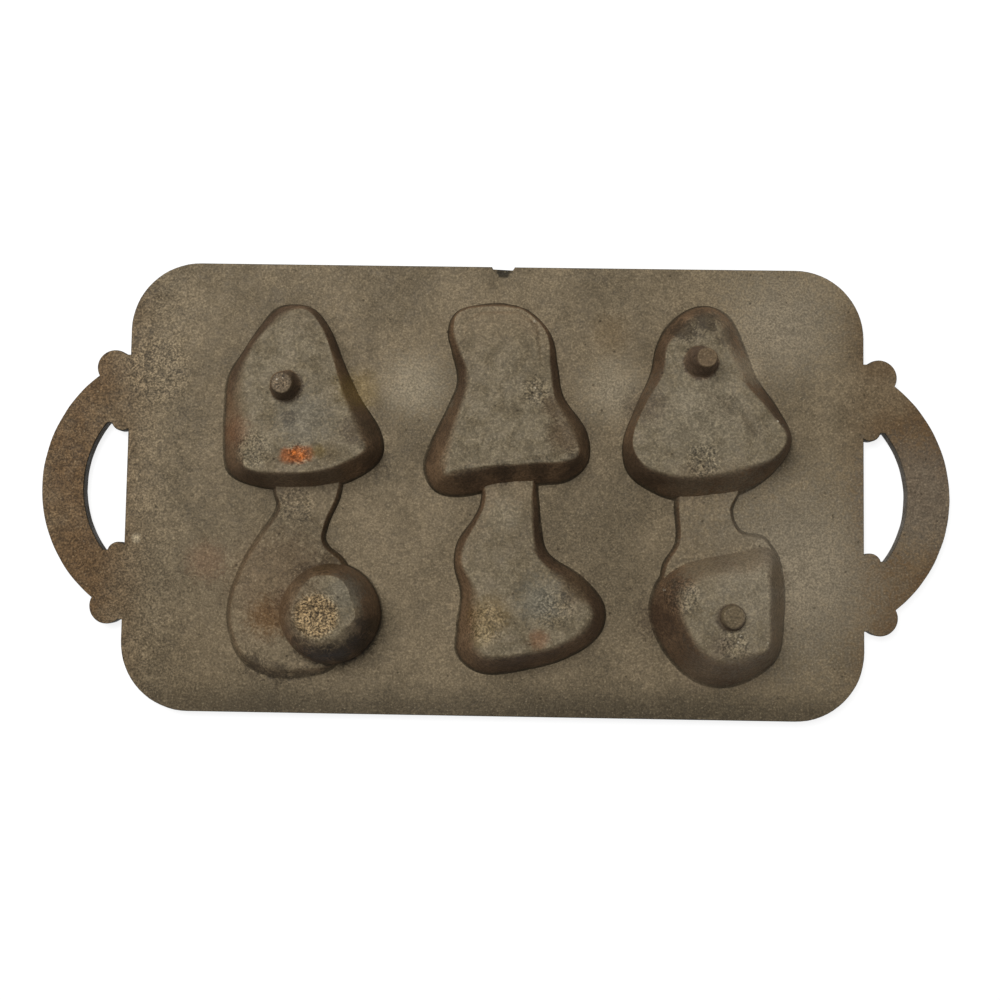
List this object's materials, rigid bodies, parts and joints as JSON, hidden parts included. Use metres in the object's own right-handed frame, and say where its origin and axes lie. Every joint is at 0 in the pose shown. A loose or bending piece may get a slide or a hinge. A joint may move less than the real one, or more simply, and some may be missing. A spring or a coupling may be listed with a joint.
{
  "type": "cast iron muffin pan",
  "caption": "Flat cast iron baking pan with rounded corners, mushroom-shaped hollows that bulge from its back, small foot pegs and a ring handle at each end.",
  "frame": {"origin": "middle of the box round the pan, in the plane of the baking face", "axes": "+X from the left handle to the right one, +Y from the stems to the cap tips, +Z out of the back face, where the bulges stand"},
  "size_m": [0.356, 0.1766, 0.024],
  "materials": {
    "deck": "dry seasoned sand-cast iron with light rust",
    "handle_left": "dry seasoned sand-cast iron with light rust",
    "handle_right": "dry seasoned sand-cast iron with light rust",
    "cap_left": "dry seasoned sand-cast iron with light rust",
    "cap_middle": "dry seasoned sand-cast iron with light rust",
    "cap_right": "dry seasoned sand-cast iron with light rust",
    "stem_left": "dry seasoned sand-cast iron with light rust",
    "stem_middle": "dry seasoned sand-cast iron with light rust",
    "stem_right": "dry seasoned sand-cast iron with light rust",
    "ball_left": "dry seasoned sand-cast iron with light rust",
    "bulb_right": "dry seasoned sand-cast iron with light rust",
    "foot_peg_left": "dry seasoned sand-cast iron with light rust",
    "foot_peg_right": "dry seasoned sand-cast iron with light rust",
    "foot_peg_stem": "dry seasoned sand-cast iron with light rust"
  },
  "bodies": {
    "root": {"deck": "deck", "handle_left": "handle_left", "handle_right": "handle_right", "cap_left": "cap_left", "cap_middle": "cap_middle", "cap_right": "cap_right", "stem_left": "stem_left", "stem_middle": "stem_middle", "stem_right": "stem_right", "ball_left": "ball_left", "bulb_right": "bulb_right", "foot_peg_left": "foot_peg_left", "foot_peg_right": "foot_peg_right", "foot_peg_stem": "foot_peg_stem"}
  },
  "joints": []
}
